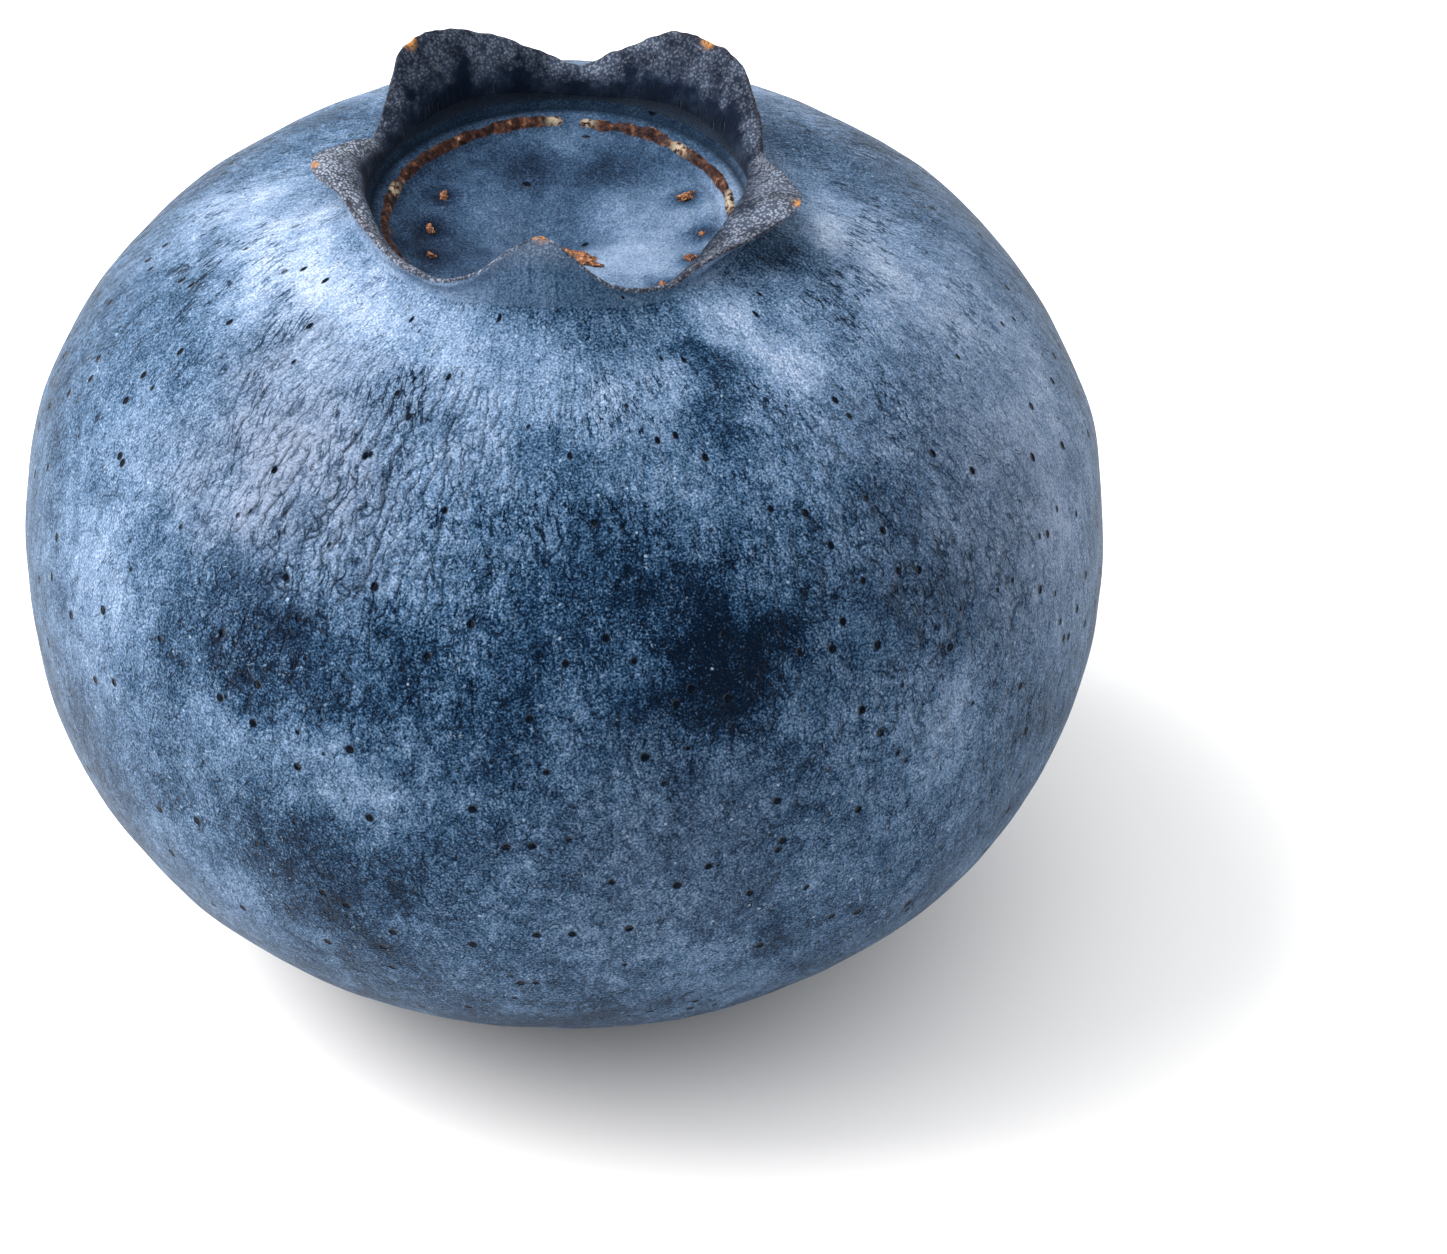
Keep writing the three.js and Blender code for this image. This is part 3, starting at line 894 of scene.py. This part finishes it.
# %% Cork
CORK_COLOURS = [
    (0.4, (0.012, 0.006, 0.005)), (0.55, (0.045, 0.019, 0.013)), (0.67, (0.14, 0.066, 0.036)),
    (0.76, (0.42, 0.33, 0.24)),
]
CREAM = (0.42, 0.36, 0.27)
cork_colour = wax.ramp(wax.noise(place, 0.12, detail=4, roughness=0.65), CORK_COLOURS)
cream_crumbs = wax.read("pale") * wax.noise(place, 0.09, detail=2).above(0.42, 0.56)
cork_colour = wax.mix(0.85 * cream_crumbs, cork_colour, CREAM)

# %% Put the regions together
scar = wax.read("scar")
colour = wax.mix(wax.read("crown"), marked, sepal_colour)
colour = wax.mix(wax.read("cork").above(0.28, 0.45), colour, cork_colour)
colour = wax.mix(scar, colour, cork_colour)

# %% Relief in millimetres, and gloss
fold_height = 0.16 * fold_middle * fold_middle * folds_here
height = 0.01 * grains + 0.046 * mottle - fold_height - 0.012 * shaded_creases - 0.012 * scuffs
height = height - 0.014 * scratches
height = height - 0.09 * pores + 0.012 * frost + 0.03 * scar * clouds
berry.data.materials.append(wax.close(
    Base_Color=colour, Roughness=0.44 + 0.14 * film_and_light, Normal=wax.relief(height),
    Specular_IOR_Level=0.06, Specular_Tint=(0.35, 0.65, 1, 1),
    Sheen_Weight=0.09, Sheen_Roughness=0.3, Sheen_Tint=(0.65, 0.78, 1, 1),
))
print("bloomed skin has", len(wax.tree.nodes), "nodes")

# %% [markdown]
# Crumbs of stamens and style
#
# The stamens and the style broke off after flowering. Their stumps dried to rust-brown crumbs that
# still sit on the disc. They are torn, so each starts as a ball whose surface is pulled about by
# noise. The style's shred is longer, flatter and curls up at one end.

# %% Where the disc's surface is
on_disc_rows = part == "disc"
disc_points = np.stack([axis[on_disc_rows].ravel() for axis in (x, y, z)], -1)
print(len(disc_points), "points of the disc to rest on")


def disc_level(at_x, at_y):
    """The disc's height under a point, in millimetres."""
    away = (disc_points[:, 0] - at_x) ** 2 + (disc_points[:, 1] - at_y) ** 2
    return disc_points[np.argmin(away), 2]


# %% Dried tissue
TISSUE_COLOURS = [
    (0.32, (0.012, 0.006, 0.006)), (0.46, (0.08, 0.027, 0.012)), (0.58, (0.33, 0.125, 0.038)),
    (0.72, (0.6, 0.43, 0.29)),
]
tissue = Finish("dried tissue")
fibres = tissue.noise(tissue.millimetres(), 0.07, detail=4, roughness=0.7)
tissue_finish = tissue.close(Base_Color=tissue.ramp(fibres, TISSUE_COLOURS), Roughness=0.8,
                             Normal=tissue.relief(0.05 * fibres))
print("dried tissue has", len(tissue.tree.nodes), "nodes")


# %% One torn crumb
def torn_crumb(name, node, size, turn, seed):
    """A crumb in place of a frame node. size is its length, width and height in millimetres."""
    low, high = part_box(node)
    middle = (low + high) / 2 / MM
    shape = bmesh.new()
    bmesh.ops.create_icosphere(shape, subdivisions=5, radius=0.5)
    mesh = bpy.data.meshes.new(name)
    shape.to_mesh(mesh)
    shape.free()
    ball = np.empty(len(mesh.vertices) * 3)
    mesh.vertices.foreach_get("co", ball)
    ball = ball.reshape(-1, 3)
    bx, by, bz = ball.T
    torn = 1 + 0.5 * ripple(bx, by, bz, 0.42, seed) + 0.32 * ripple(2.5 * bx, by, bz, 0.18, seed + 5)
    sized = ball * torn[:, None] * size
    sized[:, 2] += 0.7 * size[2] * smooth(np.abs(bx), 0.15, 0.5) * ripple(bx, by, 0, 0.5, seed + 9)
    cos, sin = math.cos(math.radians(turn)), math.sin(math.radians(turn))
    level = disc_level(middle.x, middle.y)
    points = np.stack([middle.x + cos * sized[:, 0] - sin * sized[:, 1],
                       middle.y + sin * sized[:, 0] + cos * sized[:, 1],
                       level + 0.12 * size[2] + sized[:, 2]], -1) * MM
    mesh.vertices.foreach_set("co", points.ravel())
    mesh.update()
    for polygon in mesh.polygons:
        polygon.use_smooth = True
    piece = bpy.data.objects.new(name, mesh)
    scene.collection.objects.link(piece)
    mesh.materials.append(tissue_finish)
    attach(piece, "root")
    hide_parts(node)


SHRED_SIZE = (0.75, 0.28, 0.2)
CRUMB_SHAPE = np.array([0.95, 0.5, 0.36])  # its length, width and height, as shares of the frame's crumb
torn_crumb("style_shred", "style_stub", SHRED_SIZE, -32, 3)
for number, node in enumerate(crumb_nodes, 1):
    low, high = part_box(node)
    across_crumb = (high.x - low.x) / MM
    torn_crumb(f"stamen_rest_{number:02d}", node, CRUMB_SHAPE * across_crumb, 37 * number, 11 * number)
print("11 torn crumbs on the disc")

# %% Table finish
paper = Finish("white sheet")
floor.data.materials.append(paper.close(Base_Color=(0.9, 0.9, 0.9, 1), Roughness=0.6))
